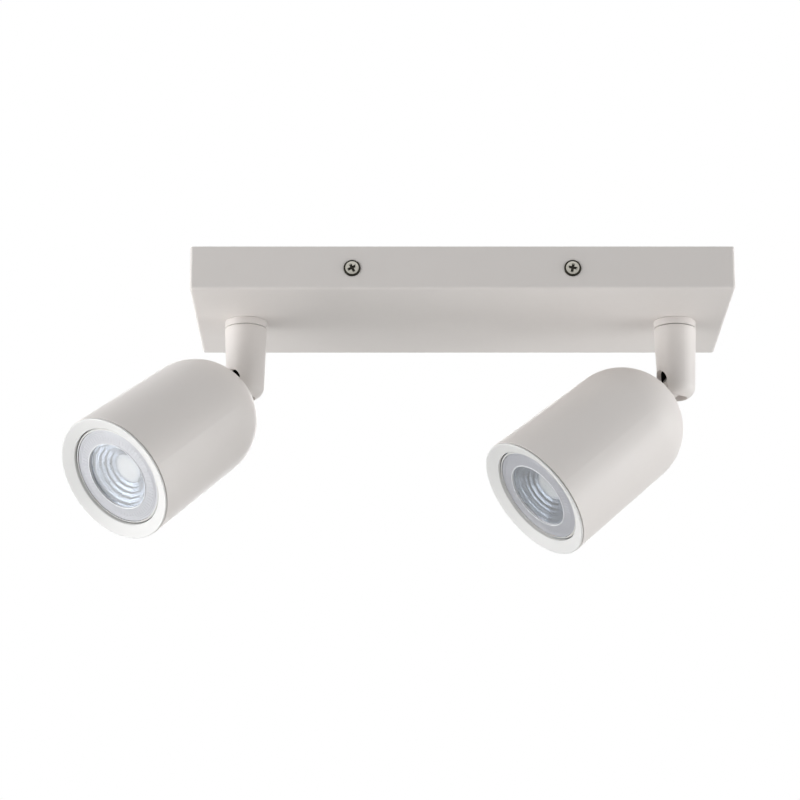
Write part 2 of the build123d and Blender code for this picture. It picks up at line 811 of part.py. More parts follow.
def make_lamp_pins():
    neck_end = at_depth(lamp_length + pin_neck_height)
    pin = rod(pin_neck_radius, at_depth(lamp_length), neck_end)
    pin += rod(pin_head_radius, neck_end, neck_end + pin_head_height)
    return [Pos(0, sign * pin_spacing / 2, 0) * pin for sign in (-1, 1)]


def make_lamp_holder():
    holder = rod(holder_radius, -holder_front, -holder_back)
    flats = block((-holder_flat, holder_flat), (-holder_radius, holder_radius), (-holder_front, -holder_back))
    holder = holder & flats
    pocket_end = pin_neck_height + pin_head_height + holder_pocket_margin - holder_front
    pocket = rod(pin_head_radius + holder_pocket_clearance, -holder_front, pocket_end)
    entry = rod(lead_radius + holder_lead_clearance, -holder_back - holder_lead_depth, -holder_back)
    for sign in (-1, 1):
        holder -= Pos(0, sign * pin_spacing / 2, 0) * pocket
        holder -= Pos(0, sign * holder_lead_offset, 0) * entry
    tapped_radius = holder_screw_radius + thread_clearance
    tapped_end = strap_half - holder_screw_length - thread_clearance
    tapped = cross_rod(tapped_radius, tapped_end, holder_radius)
    level = Pos(0, 0, -holder_back - holder_screw_level)
    return holder - level * tapped - level * Rot(0, 0, 180) * tapped


def make_holder_bracket():
    leg_end = holder_back + strap_overlap
    half_width = strap_width / 2
    strap = block((-strap_half, strap_half), (-half_width, half_width), (-leg_end, -strap_seat))
    folds = strap.edges().filter_by(Axis.Y).group_by(Axis.Z)[-1]
    strap = fillet(folds, strap_bend_radius + strap_sheet)
    room = block((-holder_flat, holder_flat), (-strap_width, strap_width), (-2 * leg_end, -arm_nut_seat))
    room = fillet(room.edges().filter_by(Axis.Y).group_by(Axis.Z)[-1], strap_bend_radius)
    strap -= room
    strap -= rod(arm_shank_radius + thread_clearance, -arm_nut_seat, -strap_seat)
    hole = cross_rod(holder_screw_radius + thread_clearance, -2 * strap_half, 2 * strap_half)
    return strap - Pos(0, 0, -holder_back - holder_screw_level) * hole


def make_holder_screws():
    screw = pan_screw(
        holder_screw_radius, holder_screw_length, holder_screw_head_radius, holder_screw_head_height
    )
    screw = Pos(strap_half, 0, -holder_back - holder_screw_level) * Rot(0, 90, 0) * screw
    return [screw, Rot(0, 0, 180) * screw]


def make_head_leads():
    start = pivot_radius + lead_break
    spread = arm_end + lead_radius
    entry = holder_back + holder_lead_depth
    leads = []
    for sign in (-1, 1):
        route = [
            (0, sign * lead_offset, -start),
            (0, sign * lead_offset, -spread - lead_radius),
            (0, sign * holder_lead_offset, -(spread + holder_back) / 2),
            (0, sign * holder_lead_offset, -entry),
        ]
        leads.append(lead(route, lead_spread_radius))
    return leads


# Base pieces
parts["canopy"] = make_canopy()
parts["canopy_screws"] = make_canopy_screws()
parts["mounting_bracket"] = make_mounting_bracket()
parts["cable_grommet"] = make_cable_grommet()
parts["terminal_block"] = make_terminal_block()
parts["terminal_clamps"] = make_terminal_clamps()
parts["terminal_screws"] = make_terminal_screws()
parts["terminal_fixing_screws"] = make_terminal_fixing_screws()
parts["earth_lug"] = make_earth_lug()
parts["earth_screw"] = make_earth_screw()
parts["earth_lead"] = make_earth_lead()

# Pieces of each side: post pieces are made once and turned, head pieces are made once and tilted
post_makers = {
    "collar": make_collar,
    "swivel_washer": make_swivel_washer,
    "stop_washer": make_stop_washer,
    "nipple": make_nipple,
    "nipple_nut": lambda: hex_nut(nipple_nut_z, nipple_radius + thread_clearance),
    "stem": make_stem,
    "pivot_screw": make_pivot_screw,
    "friction_washers": make_friction_washers,
    "stem_leads": make_stem_leads,
}
head_makers = {
    "tilt_arm": make_tilt_arm,
    "arm_nut": make_arm_nut,
    "head_shell": make_head_shell,
    "front_ring": make_front_ring,
    "lamp_body": make_lamp_body,
    "lamp_lens": make_lamp_lens,
    "lamp_reflector": make_lamp_reflector,
    "lamp_led": make_lamp_led,
    "lamp_pins": make_lamp_pins,
    "lamp_holder": make_lamp_holder,
    "holder_bracket": make_holder_bracket,
    "holder_screws": make_holder_screws,
    "head_leads": make_head_leads,
}


def moved(place, side, made):
    """Puts one solid, or each solid of a group, in its place on a side."""
    if isinstance(made, list):
        return [place(side, solid) for solid in made]
    return place(side, made)


for side in side_sign:
    parts[f"{side}_canopy_leads"] = make_canopy_leads(side)
    parts[f"{side}_stop_pin"] = make_stop_pin(side)
for place, makers in ((on_post, post_makers), (on_head, head_makers)):
    for name, make in makers.items():
        made = make()
        for side in side_sign:
            parts[f"{side}_{name}"] = moved(place, side, made)

os.makedirs("parts", exist_ok=True)
for name, shape in parts.items():
    solids = shape if isinstance(shape, list) else [shape]
    bodies = [body for solid in solids for body in solid.solids()]
    export_step(bodies[0] if len(bodies) == 1 else Compound(children=bodies), f"parts/{name}.step")
print(f"{len(parts)} pieces, pivot at Z {pivot_z:.2f}, head front {head_front:.2f} from the pivot")
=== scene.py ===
# %% [markdown]
# # Twin ceiling spotlight
# A shallow white canopy hangs under the ceiling. Two short posts swivel on it, and each carries a domed
# head that tilts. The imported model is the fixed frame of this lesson: it already holds every piece at its
# real size, so the cells below add a camera, light, finishes and the fine detail that a solid leaves out.

# %% Load the frame
import json
import math

import bmesh
import bpy
import numpy as np
from mathutils import Matrix, Vector


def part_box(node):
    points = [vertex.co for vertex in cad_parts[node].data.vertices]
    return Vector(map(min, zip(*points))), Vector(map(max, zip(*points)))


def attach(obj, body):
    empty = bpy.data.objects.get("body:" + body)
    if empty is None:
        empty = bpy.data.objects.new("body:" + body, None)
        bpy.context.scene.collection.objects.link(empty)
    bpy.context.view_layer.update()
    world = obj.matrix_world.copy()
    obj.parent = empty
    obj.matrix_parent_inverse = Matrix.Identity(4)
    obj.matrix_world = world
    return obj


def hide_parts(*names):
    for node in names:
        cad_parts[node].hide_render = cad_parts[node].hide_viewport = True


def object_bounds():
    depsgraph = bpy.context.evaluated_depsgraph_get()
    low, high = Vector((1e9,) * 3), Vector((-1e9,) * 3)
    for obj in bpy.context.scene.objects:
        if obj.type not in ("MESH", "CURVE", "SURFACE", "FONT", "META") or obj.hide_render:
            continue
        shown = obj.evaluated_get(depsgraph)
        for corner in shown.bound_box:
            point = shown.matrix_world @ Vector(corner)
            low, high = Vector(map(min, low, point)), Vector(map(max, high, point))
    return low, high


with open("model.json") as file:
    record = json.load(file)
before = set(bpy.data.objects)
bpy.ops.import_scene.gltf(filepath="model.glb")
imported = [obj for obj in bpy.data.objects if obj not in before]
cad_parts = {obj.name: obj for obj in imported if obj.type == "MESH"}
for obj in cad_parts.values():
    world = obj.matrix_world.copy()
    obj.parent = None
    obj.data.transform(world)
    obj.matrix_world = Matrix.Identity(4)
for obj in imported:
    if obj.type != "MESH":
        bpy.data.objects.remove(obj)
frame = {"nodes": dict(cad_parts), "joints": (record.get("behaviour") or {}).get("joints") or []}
cad_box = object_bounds()
nodes = frame["nodes"]
joints = {joint["name"]: joint for joint in frame["joints"]}
SIDES = ("left", "right")
MM = 0.001

# %% [markdown]
# ## Places
# The tilt joints say where the posts and heads stand. A tilt axis lies square to its post's front, so it
# gives the post's turn, and the joint's lowest angle is the head's hanging position, so it gives the lean.
# With these two places, every size of a head can be read from its node as a radius and a depth.

# %% Places of the posts and heads
def post_place(side):
    """Frame of a post: its pivot at the origin, +Z up and -Y to its front."""
    tilt = joints[f"{side}_tilt"]
    turn = math.atan2(-tilt["axis"][1], -tilt["axis"][0])
    return Matrix.Translation(tilt["pos_m"]) @ Matrix.Rotation(turn, 4, "Z")


def head_place(side):
    """Frame of a head: its pivot at the origin and its light going out along -Z."""
    lean = math.radians(-joints[f"{side}_tilt"]["range_deg"][0])
    return post_place(side) @ Matrix.Rotation(-lean, 4, "X")


def seen_from(place, node):
    """A node's corners in a place's own frame."""
    into = np.array(place.inverted())
    points = np.array([corner.co for corner in nodes[node].data.vertices])
    return points @ into[:3, :3].T + into[:3, 3]


def radii_and_heights(place, node):
    """The radius of each of a node's corners about a place's Z axis, and its height there."""
    points = seen_from(place, node)
    return np.hypot(points[:, 0], points[:, 1]), points[:, 2]


for side in SIDES:
    radii, heights = radii_and_heights(head_place(side), f"{side}_front_ring")
    ring_radius, ring_front = radii.max() / MM, -heights.min() / MM
    print(f"{side} ring: radius {ring_radius:.1f} mm, front {ring_front:.1f} mm from the pivot")

# %% [markdown]
# ## Camera
# The photograph looks slightly up at the fitting from well back, so its lines stay nearly parallel. A long
# lens far away gives the same drawing as the photograph, and a pitch of 16 degrees shows the underside.

# %% Camera
CAMERA_PLACE = (-0.02973, -1.43726, -0.47323)
CAMERA_PITCH = math.radians(16.0)
SENSOR_WIDTH = 36.0
LENS_LENGTH = 137.6


def put_in_scene(made):
    """Links a new object to the scene."""
    bpy.context.scene.collection.objects.link(made)
    return made


camera_data = bpy.data.cameras.new("camera")
camera_data.sensor_width = SENSOR_WIDTH
camera_data.lens = LENS_LENGTH
camera = put_in_scene(bpy.data.objects.new("camera", camera_data))
camera.location = CAMERA_PLACE
camera.rotation_euler = (math.pi / 2 + CAMERA_PITCH, 0, 0)
bpy.context.scene.camera = camera
bpy.context.scene.view_settings.view_transform = "Standard"
print(f"camera with a {LENS_LENGTH:.0f} mm lens, {-CAMERA_PLACE[1]:.2f} m in front")

# %% [markdown]
# ## Node helpers
# Materials, the world and Geometry Nodes are all trees of nodes. A few small helpers keep them readable:
# one feeds a single input, one adds a node and fills its inputs, one does a step of arithmetic, and three
# work on coordinates.

# %% Node helpers
def feed(tree, value, socket):
    """Links another node's output to a socket, or sets the socket's own value."""
    if isinstance(value, bpy.types.NodeSocket):
        tree.links.new(value, socket)
    else:
        socket.default_value = value


def add_node(tree, kind, **inputs):
    """Adds a node of a kind and feeds its inputs by name."""
    node = tree.nodes.new(kind)
    for name, value in inputs.items():
        feed(tree, value, node.inputs[name.replace("_", " ")])
    return node


def maths(tree, operation, *values):
    """One step of arithmetic on numbers or outputs."""
    step = tree.nodes.new("ShaderNodeMath")
    step.operation = operation
    for value, socket in zip(values, step.inputs):
        feed(tree, value, socket)
    return step.outputs[0]


def join_xyz(tree, x=0.0, y=0.0, z=0.0):
    """A vector from three numbers or outputs."""
    return add_node(tree, "ShaderNodeCombineXYZ", X=x, Y=y, Z=z).outputs[0]


def split_xyz(tree, vector):
    """The three coordinates of a vector."""
    return add_node(tree, "ShaderNodeSeparateXYZ", Vector=vector).outputs


def length_of(tree, x, y):
    """Length of the line to a point with these two coordinates."""
    squares = maths(tree, "ADD", maths(tree, "MULTIPLY", x, x), maths(tree, "MULTIPLY", y, y))
    return maths(tree, "SQRT", squares)


# %% [markdown]
# ## Light
# The fitting stands free before white, as in a photographer's tent: an even white surround, and a pale
# floor far below that takes the shadow. The surround is pure white where the camera, a gloss or the glass
# looks at it, and dimmer as a light, so that the white paint keeps its shading.

# %% Surround
SURROUND_SHOWN = (1, 1, 1, 1)
SURROUND_TINT = (1, 0.99, 0.975, 1)
SURROUND_LIGHT = 0.12


def straight_looks(tree):
    """One where the camera, a gloss or glass looks straight at a surface, and nothing elsewhere."""
    path = add_node(tree, "ShaderNodeLightPath").outputs
    straight = maths(tree, "MAXIMUM", path["Is Camera Ray"], path["Is Glossy Ray"])
    return maths(tree, "MAXIMUM", straight, path["Is Transmission Ray"])


def choose(tree, factor, first, second):
    """Mixes two shaders by a factor."""
    mixed = add_node(tree, "ShaderNodeMixShader", Fac=factor)
    feed(tree, first, mixed.inputs[1])
    feed(tree, second, mixed.inputs[2])
    return mixed.outputs[0]


def white_surround():
    """A world that shows pure white and lights the object softly."""
    world = bpy.data.worlds.new("white_surround")
    world.use_nodes = True
    tree = world.node_tree
    tree.nodes.clear()
    shown = add_node(tree, "ShaderNodeBackground", Color=SURROUND_SHOWN, Strength=1.0).outputs[0]
    light = add_node(tree, "ShaderNodeBackground", Color=SURROUND_TINT, Strength=SURROUND_LIGHT).outputs[0]
    add_node(tree, "ShaderNodeOutputWorld", Surface=choose(tree, straight_looks(tree), light, shown))
    return world


bpy.context.scene.world = white_surround()
print(f"white surround, as a light at a strength of {SURROUND_LIGHT}")

# %% Floor
FLOOR_DROP = 1.6
FLOOR_HALF = 30.0
FLOOR_PAINT = (0.85, 0.85, 0.84, 1)
FLOOR_TINT = (1, 1, 0.99, 1)
FLOOR_MIRRORED = 0.28
FLOOR_MORE_IN_VIEW = 0.5


def floor_finish():
    """Matt paint that glows a little where something looks straight at it, most of all the camera."""
    finish = bpy.data.materials.new("floor_finish")
    finish.use_nodes = True
    tree = finish.node_tree
    tree.nodes.clear()
    matt = add_node(tree, "ShaderNodeBsdfDiffuse", Color=FLOOR_PAINT).outputs[0]
    in_view = add_node(tree, "ShaderNodeLightPath").outputs["Is Camera Ray"]
    strength = maths(tree, "MULTIPLY_ADD", in_view, FLOOR_MORE_IN_VIEW, FLOOR_MIRRORED)
    glow = add_node(tree, "ShaderNodeEmission", Color=FLOOR_TINT, Strength=strength).outputs[0]
    glowing = add_node(tree, "ShaderNodeAddShader")
    feed(tree, matt, glowing.inputs[0])
    feed(tree, glow, glowing.inputs[1])
    surface = choose(tree, straight_looks(tree), matt, glowing.outputs[0])
    add_node(tree, "ShaderNodeOutputMaterial", Surface=surface)
    return finish


def pale_floor():
    """A wide square far below the fitting."""
    mesh = bpy.data.meshes.new("floor")
    square = ((-1, -1), (1, -1), (1, 1), (-1, 1))
    corners = [(x * FLOOR_HALF, y * FLOOR_HALF, -FLOOR_DROP) for x, y in square]
    mesh.from_pydata(corners, [], [(0, 1, 2, 3)])
    mesh.materials.append(floor_finish())
    return put_in_scene(bpy.data.objects.new("floor", mesh))


floor = pale_floor()
print(f"floor {FLOOR_DROP} m below the ceiling")

# %% [markdown]
# A white object is drawn only by how the light changes over it, and one hard lamp would burn out its
# edges. So three large soft lamps stand at each side, with one above the front and one behind. The first on
# the left is the widest and strongest: it fills the left lamp's cup with an even sheen.

# %% Soft lamps
# Each lamp has its place and its width in metres, and its power in watts.
LAMPS = {
    "left": ((-1.3, -0.5, -0.3), 1.4, 16.5),
    "left_high": ((-1.0, -0.1, 0.95), 0.9, 5.0),
    "left_low": ((-1.15, 0.15, -0.9), 0.9, 5.5),
    "right": ((1.4, -0.15, -0.05), 0.9, 9.9),
    "right_front": ((1.1, -0.6, -0.6), 0.9, 3.2),
    "right_low": ((1.0, -0.1, -0.95), 0.9, 2.8),
    "front_high": ((0.0, -0.9, 1.0), 0.9, 3.1),
    "back": ((0.0, 1.4, 0.3), 0.9, 9.0),
}


def soft_lamp(name, place, target, width, power):
    """A square lamp that faces a point."""
    data = bpy.data.lights.new(name, "AREA")
    data.shape = "SQUARE"
    data.size = width
    data.energy = power
    lamp = put_in_scene(bpy.data.objects.new(name, data))
    lamp.location = place
    lamp.rotation_euler = (Vector(target) - Vector(place)).to_track_quat("-Z", "Y").to_euler()


middle_of_part = (cad_box[0] + cad_box[1]) / 2
for name, (place, width, power) in LAMPS.items():
    soft_lamp(f"{name}_lamp", place, middle_of_part, width, power)
print(f"{len(LAMPS)} soft lamps")

# %% [markdown]
# ## Finishes
# Each finish is one short function. The paint is a powder coat: it melts into a skin with a fine orange
# peel, which shows as soft, slightly broken highlights, so its bump is a noise of under a millimetre.
# Metals and plastics are made the same way, each with the grain, tone and gloss that its making leaves.

# %% Shared shader parts
NOISE_LOW = 0.3
NOISE_HIGH = 0.7


def new_finish(name, **sockets):
    """A material with one Principled shader, with sockets set by name."""
    finish = bpy.data.materials.new(name)
    finish.use_nodes = True
    shader = finish.node_tree.nodes["Principled BSDF"]
    for socket, value in sockets.items():
        shader.inputs[socket.replace("_", " ")].default_value = value
    return finish, finish.node_tree, shader


def own_coordinates(tree):
    """A piece's own coordinates, which go along with it when it moves."""
    return add_node(tree, "ShaderNodeTexCoord").outputs["Object"]


def grain(tree, size):
    """Noise whose grains are about the given size."""
    noise = add_node(tree, "ShaderNodeTexNoise", Vector=own_coordinates(tree), Scale=1 / size, Detail=2.0)
    return noise.outputs["Fac"]


def spread(tree, value, low, high):
    """Spreads a noise over a range of numbers."""
    ranged = add_node(
        tree, "ShaderNodeMapRange",
        Value=value, From_Min=NOISE_LOW, From_Max=NOISE_HIGH, To_Min=low, To_Max=high,
    )
    return ranged.outputs["Result"]


def tint(tree, value, dark, light):
    """Blends two colours, or outputs of colour, by a number."""
    blend = tree.nodes.new("ShaderNodeMix")
    blend.data_type = "RGBA"
    feed(tree, value, blend.inputs["Factor"])
    for colour, socket in ((dark, "A"), (light, "B")):
        is_output = isinstance(colour, bpy.types.NodeSocket)
        feed(tree, colour if is_output else (*colour, 1), blend.inputs[socket])
    return blend.outputs["Result"]


def shade_of(colour, factor):
    """A darker or lighter shade of a colour."""
    return tuple(channel * factor for channel in colour)


def roughen(tree, shader, value, height, strength):
    """Raises the surface by a noise, to a height in metres."""
    bump = add_node(tree, "ShaderNodeBump", Strength=strength, Distance=height, Height=value)
    feed(tree, bump.outputs["Normal"], shader.inputs["Normal"])


# %% Paint and metals
def powder_coat(name, colour):
    """Satin powder coat: a fine peel, a faint mottle and a slightly uneven gloss."""
    finish, tree, shader = new_finish(name)
    mottle = tint(tree, grain(tree, size=18 * MM), shade_of(colour, 0.985), shade_of(colour, 1.012))
    gloss = spread(tree, grain(tree, size=3 * MM), low=0.42, high=0.52)
    feed(tree, mottle, shader.inputs["Base Color"])
    feed(tree, gloss, shader.inputs["Roughness"])
    roughen(tree, shader, grain(tree, size=0.55 * MM), height=0.03 * MM, strength=0.35)
    return finish


def plated(name, colour, low, high):
    """Bright plating over steel, with the faint grain of rolled or turned metal."""
    finish, tree, shader = new_finish(name, Metallic=1.0)
    tone = tint(tree, grain(tree, size=6 * MM), shade_of(colour, 0.88), colour)
    feed(tree, tone, shader.inputs["Base Color"])
    feed(tree, spread(tree, grain(tree, size=1.2 * MM), low, high), shader.inputs["Roughness"])
    roughen(tree, shader, grain(tree, size=0.25 * MM), height=0.01 * MM, strength=0.25)
    return finish


def galvanised(name, colour, spangle):
    """Zinc-coated sheet: each crystal of the spangle has its own tone and gloss."""
    finish, tree, shader = new_finish(name, Metallic=1.0)
    crystals = add_node(tree, "ShaderNodeTexVoronoi", Vector=own_coordinates(tree), Scale=1 / spangle)
    tone = add_node(tree, "ShaderNodeSeparateColor", Color=crystals.outputs["Color"]).outputs[0]
    feed(tree, tint(tree, tone, shade_of(colour, 0.8), colour), shader.inputs["Base Color"])
    feed(tree, spread(tree, tone, low=0.48, high=0.62), shader.inputs["Roughness"])
    roughen(tree, shader, grain(tree, size=0.4 * MM), height=0.01 * MM, strength=0.2)
    return finish


# %% Plastics, rubber and ceramic
SCATTER_REACH = (0.8 * MM, 0.7 * MM, 0.6 * MM)
GLOSS_CHANGE = 0.05


def moulded(name, colour, roughness, scatter=0.0):
    """Moulded plastic, rubber or ceramic with a fine grain, which may let light scatter under its skin."""
    finish, tree, shader = new_finish(
        name, Subsurface_Weight=scatter, Subsurface_Radius=SCATTER_REACH, Subsurface_Scale=1.0
    )
    tone = tint(tree, grain(tree, size=5 * MM), shade_of(colour, 0.94), colour)
    gloss = spread(tree, grain(tree, size=1.5 * MM), roughness - GLOSS_CHANGE, roughness + GLOSS_CHANGE)
    feed(tree, tone, shader.inputs["Base Color"])
    feed(tree, gloss, shader.inputs["Roughness"])
    roughen(tree, shader, grain(tree, size=0.2 * MM), height=0.01 * MM, strength=0.3)
    return finish


# %% Finishes of this fitting
WHITE_PAINT = (0.81, 0.776, 0.752)
canopy_coat = powder_coat("canopy_coat", WHITE_PAINT)
body_coat = powder_coat("body_coat", WHITE_PAINT)
ring_coat = powder_coat("ring_coat", (0.79, 0.79, 0.782))
nickel = plated("nickel", (0.43, 0.415, 0.37), low=0.35, high=0.5)
zinc = plated("zinc", (0.62, 0.63, 0.65), low=0.28, high=0.42)
zinc_sheet = galvanised("zinc_sheet", (0.55, 0.56, 0.58), spangle=7 * MM)
brass = plated("brass", (0.76, 0.58, 0.30), low=0.25, high=0.38)
metallised = plated("metallised", (0.37, 0.415, 0.48), low=0.2, high=0.28)
pin_plating = plated("pin_plating", (0.74, 0.70, 0.62), low=0.25, high=0.4)
black_rubber = moulded("black_rubber", (0.02, 0.02, 0.02), roughness=0.75)
black_nylon = moulded("black_nylon", (0.025, 0.025, 0.025), roughness=0.5)
grey_nylon = moulded("grey_nylon", (0.26, 0.25, 0.24), roughness=0.5)
# A lighter copy of the grey nylon: painted light for the left swivel washer.
lit_nylon_copy = moulded("lit_nylon_copy", (0.58, 0.57, 0.55), roughness=0.5)
terminal_nylon = moulded("terminal_nylon", (0.80, 0.80, 0.76), roughness=0.5, scatter=0.3)
lead_skin = moulded("lead_skin", (0.75, 0.75, 0.72), roughness=0.45, scatter=0.1)
earth_skin = moulded("earth_skin", (0.18, 0.42, 0.08), roughness=0.45)
lamp_plastic = moulded("lamp_plastic", (0.78, 0.78, 0.77), roughness=0.35, scatter=0.2)
steatite = moulded("steatite", (0.80, 0.77, 0.70), roughness=0.7, scatter=0.1)
print(f"{len(bpy.data.materials)} materials so far")

# %% [markdown]
# ## Slots of the posts
# Deep inside the slot of a post, shade falls. That shade is painted in as a near-black colour without
# gloss, while the walls near the mouth keep the white paint. The slot's walls could be pieces of their own,
# but they belong to the post. So its faces are found by their place and get a second finish. A Mapping node
# turns the piece's coordinates into the frame of its post, where the depth at which the painted shade
# begins is a plain radius.

# %% Coordinates about an axis
def about_axis(tree, place):
    """The radius of a surface about a place's Z axis, and its height there."""
    into = place.inverted()
    turned = add_node(
        tree, "ShaderNodeMapping",
        Vector=own_coordinates(tree), Location=into.translation, Rotation=into.to_euler(),
    )
    x, y, height = split_xyz(tree, turned.outputs["Vector"])
    return length_of(tree, x, y), height


# %% Slots of the posts
WALL_MARGIN = 0.05 * MM
SLOT_RISE = 1.0 * MM
MOUTH_FRONT = -5 * MM
MOUTH_LOW = -6 * MM
# Painted shade: inside this radius about the post's axis, and above the given height, the slot's faces get
# near black in place of the shade that falls there.
SHADE_RADIUS = 7.3 * MM
SHADE_ABOVE = -3 * MM
PAINTED_SHADE_BLACK = (0.004, 0.004, 0.004)


def slot_shade_finish(side):
    """Matt paint near the mouth of a slot, and painted shade of near black deeper in, where the shade
    falls.
    """
    finish, tree, shader = new_finish(f"{side}_slot", Roughness=0.9, Specular_IOR_Level=0.0)
    radius, height = about_axis(tree, post_place(side))
    deep = maths(tree, "LESS_THAN", radius, SHADE_RADIUS)
    in_painted_shade = maths(tree, "MULTIPLY", deep, maths(tree, "GREATER_THAN", height, SHADE_ABOVE))
    # Painted shade: near black where the slot is deep, white paint elsewhere.
    feed(tree, tint(tree, in_painted_shade, WHITE_PAINT, PAINTED_SHADE_BLACK), shader.inputs["Base Color"])
    return finish


def coat_slot(side):
    """Gives the faces of a post's slot and bore their own finish, with the painted shade."""
    mesh = nodes[f"{side}_stem"].data
    mesh.materials.append(slot_shade_finish(side))
    points = seen_from(post_place(side), f"{side}_stem")
    in_front = points[:, 1] < MOUTH_FRONT
    below_pivot = (points[:, 2] < 0) & (points[:, 2] > MOUTH_LOW)
    slot_half = float(np.abs(points[in_front & below_pivot][:, 0]).min()) + WALL_MARGIN
    slot_faces = 0
    for face in mesh.polygons:
        x, y, z = points[list(face.vertices)].mean(axis=0)
        under_arch = z < SLOT_RISE or math.hypot(x, z - SLOT_RISE) < slot_half
        in_slot = y < 0 and abs(x) < slot_half and under_arch
        if in_slot or math.hypot(x, y) < slot_half:
            face.material_index = 1
            slot_faces += 1
    print(f"{side} post: slot {2 * slot_half / MM:.1f} mm wide, {slot_faces} faces")


# %% [markdown]
# ## Light sources
# A milky disc covers the light source of each lamp, pale in the middle and greyer towards its edge. A small
# picture could show that, but a fade over the radius about the head's axis stays smooth at any distance.

# %% Light source
LED_RADIUS = 7.2 * MM
GLOW_RADIUS = 4.8 * MM
GLOW_TONES = (0.96, 0.95, 0.92), (0.98, 0.97, 0.94)
EDGE_TONE = (0.70, 0.72, 0.75)


def light_source(side):
    """Milky disc over a light source."""
    finish, tree, shader = new_finish(f"{side}_light_source", Roughness=0.35)
    radius, _ = about_axis(tree, head_place(side))
    fade = add_node(tree, "ShaderNodeMapRange", Value=radius, From_Min=GLOW_RADIUS, From_Max=LED_RADIUS)
    fade.interpolation_type = "SMOOTHSTEP"
    glow = tint(tree, grain(tree, size=2 * MM), *GLOW_TONES)
    feed(tree, tint(tree, fade.outputs["Result"], glow, EDGE_TONE), shader.inputs["Base Color"])
    return finish


# %% [markdown]
# ## Finishes on the nodes
# Every node of the frame gets its finish by name. Posts and heads come in pairs, so one table serves both
# sides. Only the thin washers above the posts differ: the left one gets a lighter copy of the grey nylon,
# as painted light that makes its line show paler.

# %% Finishes on the nodes
NODE_FINISHES = {
    "canopy": canopy_coat,
    "canopy_screws": nickel,
    "mounting_bracket": zinc_sheet,
    "cable_grommet": black_rubber,
    "terminal_block": terminal_nylon,
    "terminal_clamps": brass,
    "terminal_screws": zinc,
    "terminal_fixing_screws": zinc,
    "earth_lug": zinc,
    "earth_screw": zinc,
    "earth_lead": earth_skin,
    # Same nylon as the right washer, painted lighter as painted light.
    "left_swivel_washer": lit_nylon_copy,
    "right_swivel_washer": grey_nylon,
}
SIDE_FINISHES = {
    "canopy_leads": lead_skin,
    "stem_leads": lead_skin,
    "head_leads": lead_skin,
    "collar": body_coat,
    "stem": body_coat,
    "tilt_arm": body_coat,
    "head_shell": body_coat,
    "front_ring": ring_coat,
    "friction_washers": black_nylon,
    "stop_washer": zinc,
    "stop_pin": zinc,
    "nipple": zinc,
    "nipple_nut": zinc,
    "pivot_screw": zinc,
    "arm_nut": zinc,
    "holder_bracket": zinc_sheet,
    "holder_screws": zinc,
    "lamp_body": lamp_plastic,
    "lamp_lens": lamp_plastic,
    "lamp_reflector": metallised,
    "lamp_pins": pin_plating,
    "lamp_holder": steatite,
}
for side in SIDES:
    NODE_FINISHES.update({f"{side}_{name}": finish for name, finish in SIDE_FINISHES.items()})
    NODE_FINISHES[f"{side}_lamp_led"] = light_source(side)
for name, node in nodes.items():
    node.data.materials.clear()
    node.data.materials.append(NODE_FINISHES[name])
for side in SIDES:
    coat_slot(side)
print(f"finishes on {len(NODE_FINISHES)} nodes")

# %% [markdown]
# ## Pieces
# Round pieces are turned from a profile, as on a lathe, and what repeats is grown by Geometry Nodes. Both
# ways end in a plain mesh, set down in the place of its post, head or canopy, that rides on one body.

# %% Turning and finishing a piece
SMOOTH_BELOW = math.radians(32)
TURNING_STEPS = 160
SAME_POINT = 0.001 * MM


def finished(name, mesh, place, body, slot, *replaced):
    """Sets a mesh down at a place as a piece that rides on a body, and may stand for CAD nodes."""
    mesh.name = name
    mesh.transform(place)
    mesh.shade_smooth()
    mesh.set_sharp_from_angle(angle=SMOOTH_BELOW)
    piece = put_in_scene(bpy.data.objects.new(name, mesh))
    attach(piece, body)
    if replaced:
        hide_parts(*replaced)
    print(f"{name}: {len(mesh.polygons)} faces on {body}")
    return piece


def lathe(profile, finish, steps=TURNING_STEPS):
    """Turns a closed profile of radius and height pairs about Z."""
    shape = bmesh.new()
    angles = [2 * math.pi * step / steps for step in range(steps)]
    rings = [[shape.verts.new((r * math.cos(a), r * math.sin(a), z)) for a in angles] for r, z in profile]
    for ring, following in zip(rings, rings[1:] + rings[:1]):
        for step in range(steps):
            after = (step + 1) % steps
            shape.faces.new((ring[step], ring[after], following[after], following[step]))
    bmesh.ops.remove_doubles(shape, verts=shape.verts, dist=SAME_POINT)
    bmesh.ops.recalc_face_normals(shape, faces=shape.faces)
    mesh = bpy.data.meshes.new("turned")
    shape.to_mesh(mesh)
    shape.free()
    mesh.materials.append(finish)
    return mesh


# %% Steps of a tree
def new_tree(name, **sizes):
    """A Geometry Nodes tree with a number input for each size, and the outputs of its input node."""
    tree = bpy.data.node_groups.new(name, "GeometryNodeTree")
    tree.interface.new_socket("Points", in_out="INPUT", socket_type="NodeSocketGeometry")
    for size, value in sizes.items():
        socket = tree.interface.new_socket(size, in_out="INPUT", socket_type="NodeSocketFloat")
        socket.default_value = value
    tree.interface.new_socket("Mesh", in_out="OUTPUT", socket_type="NodeSocketGeometry")
    return tree, tree.nodes.new("NodeGroupInput").outputs


def coated(tree, geometry, finish, **where):
    """Gives a finish to a geometry, or only to a selection of its faces."""
    return add_node(tree, "GeometryNodeSetMaterial", Geometry=geometry, Material=finish, **where).outputs[0]


def realised(tree, geometry):
    """Turns instances into real geometry."""
    return add_node(tree, "GeometryNodeRealizeInstances", Geometry=geometry).outputs[0]


def end_tree(tree, geometry):
    """Sends a geometry out of a tree."""
    feed(tree, geometry, tree.nodes.new("NodeGroupOutput").inputs["Mesh"])


